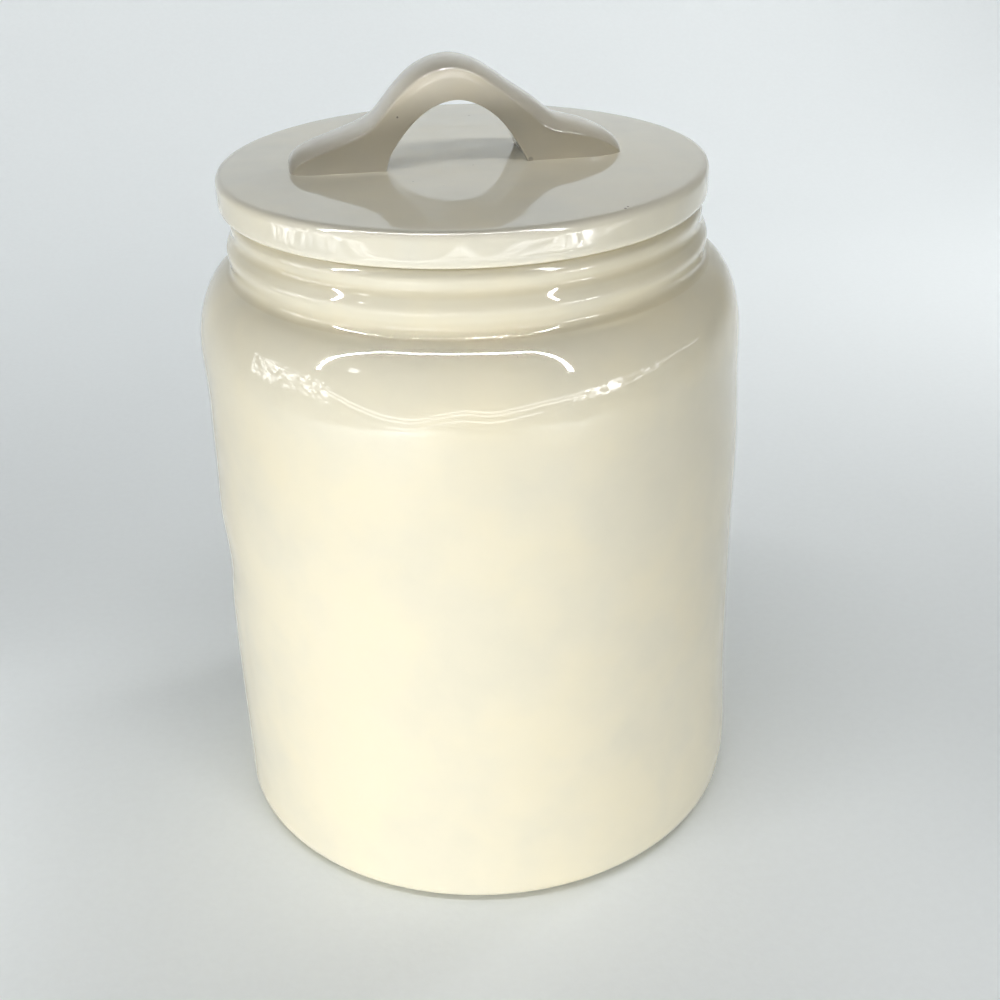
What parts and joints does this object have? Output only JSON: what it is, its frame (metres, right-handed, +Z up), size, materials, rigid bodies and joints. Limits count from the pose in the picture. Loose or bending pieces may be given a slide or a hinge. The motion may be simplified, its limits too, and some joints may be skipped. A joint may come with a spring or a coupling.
{
  "type": "coffee canister",
  "caption": "Round glazed ceramic canister with a beaded neck, a lift-off lid that seals with a silicone ring, and an arched strap handle.",
  "frame": {"origin": "centre of the foot ring's resting plane, on the jar's axis", "axes": "+Z up along the jar's axis, +X along the handle"},
  "size_m": [0.1284, 0.1284, 0.1862],
  "materials": {
    "glaze": "glossy cream glaze",
    "silicone": "satin, milky white"
  },
  "bodies": {
    "jar": {"jar_body": "glaze"},
    "seal": {"seal_ring": "silicone"},
    "lid": {"lid": "glaze", "lid_handle": "glaze"}
  },
  "joints": [
    {"name": "lid_lift", "type": "slide", "parent": "jar", "child": "seal", "axis": [0, 0, 1], "range_m": [0, 0.15]},
    {"name": "lid_turn", "type": "hinge", "parent": "seal", "child": "lid", "pos_m": [0, 0, 0.1548], "axis": [0, 0, 1], "continuous": true}
  ]
}
